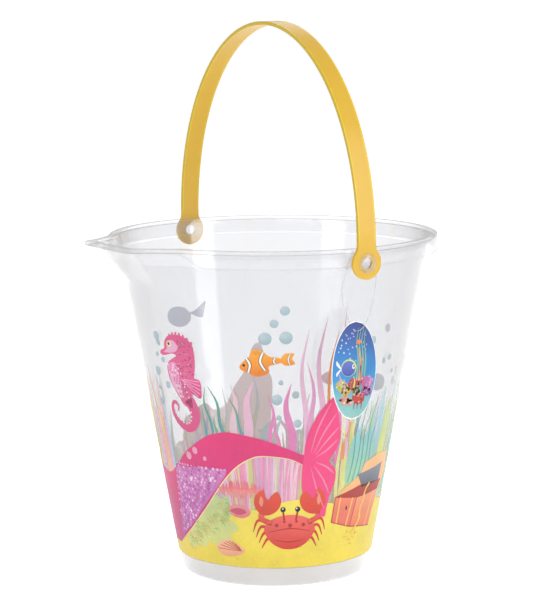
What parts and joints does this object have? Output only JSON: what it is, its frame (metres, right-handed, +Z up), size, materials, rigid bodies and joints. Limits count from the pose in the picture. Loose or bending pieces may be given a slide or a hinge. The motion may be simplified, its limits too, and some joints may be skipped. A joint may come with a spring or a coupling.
{
  "type": "sand bucket",
  "caption": "Clear tapered seaside sand bucket with a printed sea-bed scene, a pouring spout, a yellow strap handle on snap studs and an oval swing tag on a nylon loop.",
  "frame": {"origin": "middle of the base, on the plane that the bucket stands on", "axes": "+Z up out of the mouth, -X towards the pouring spout, the handle's pivot studs on the Y axis with the tag on the -Y stud"},
  "size_m": [0.2266, 0.2218, 0.3511],
  "materials": {
    "clear_plastic": "clear glossy polypropylene, faintly milky at the foot",
    "printed_film": "clear film printed with a sea-bed scene in solid inks",
    "yellow_plastic": "yellow translucent moulded plastic, satin gloss",
    "tag_card": "gloss-printed card with a white border",
    "nylon": "clear nylon monofilament"
  },
  "bodies": {
    "bucket": {"bucket_shell": "clear_plastic", "printed_film": "printed_film"},
    "handle": {"handle": "yellow_plastic"},
    "loop": {"tag_loop": "nylon", "tag_lock": "nylon"},
    "tag": {"hang_tag": "tag_card"}
  },
  "joints": [
    {"name": "handle_swing", "type": "hinge", "parent": "bucket", "child": "handle", "pos_m": [0, 0, 0.2087], "axis": [0, -1, 0], "range_deg": [-144, 144]},
    {"name": "loop_swing", "type": "hinge", "parent": "bucket", "child": "loop", "pos_m": [0, -0.10555, 0.2087], "axis": [0, -1, 0], "range_deg": [-3, 8]},
    {"name": "tag_swing", "type": "hinge", "parent": "loop", "child": "tag", "pos_m": [-0.0056, -0.10435, 0.1682], "axis": [0, -1, 0], "range_deg": [-10, 30]}
  ]
}
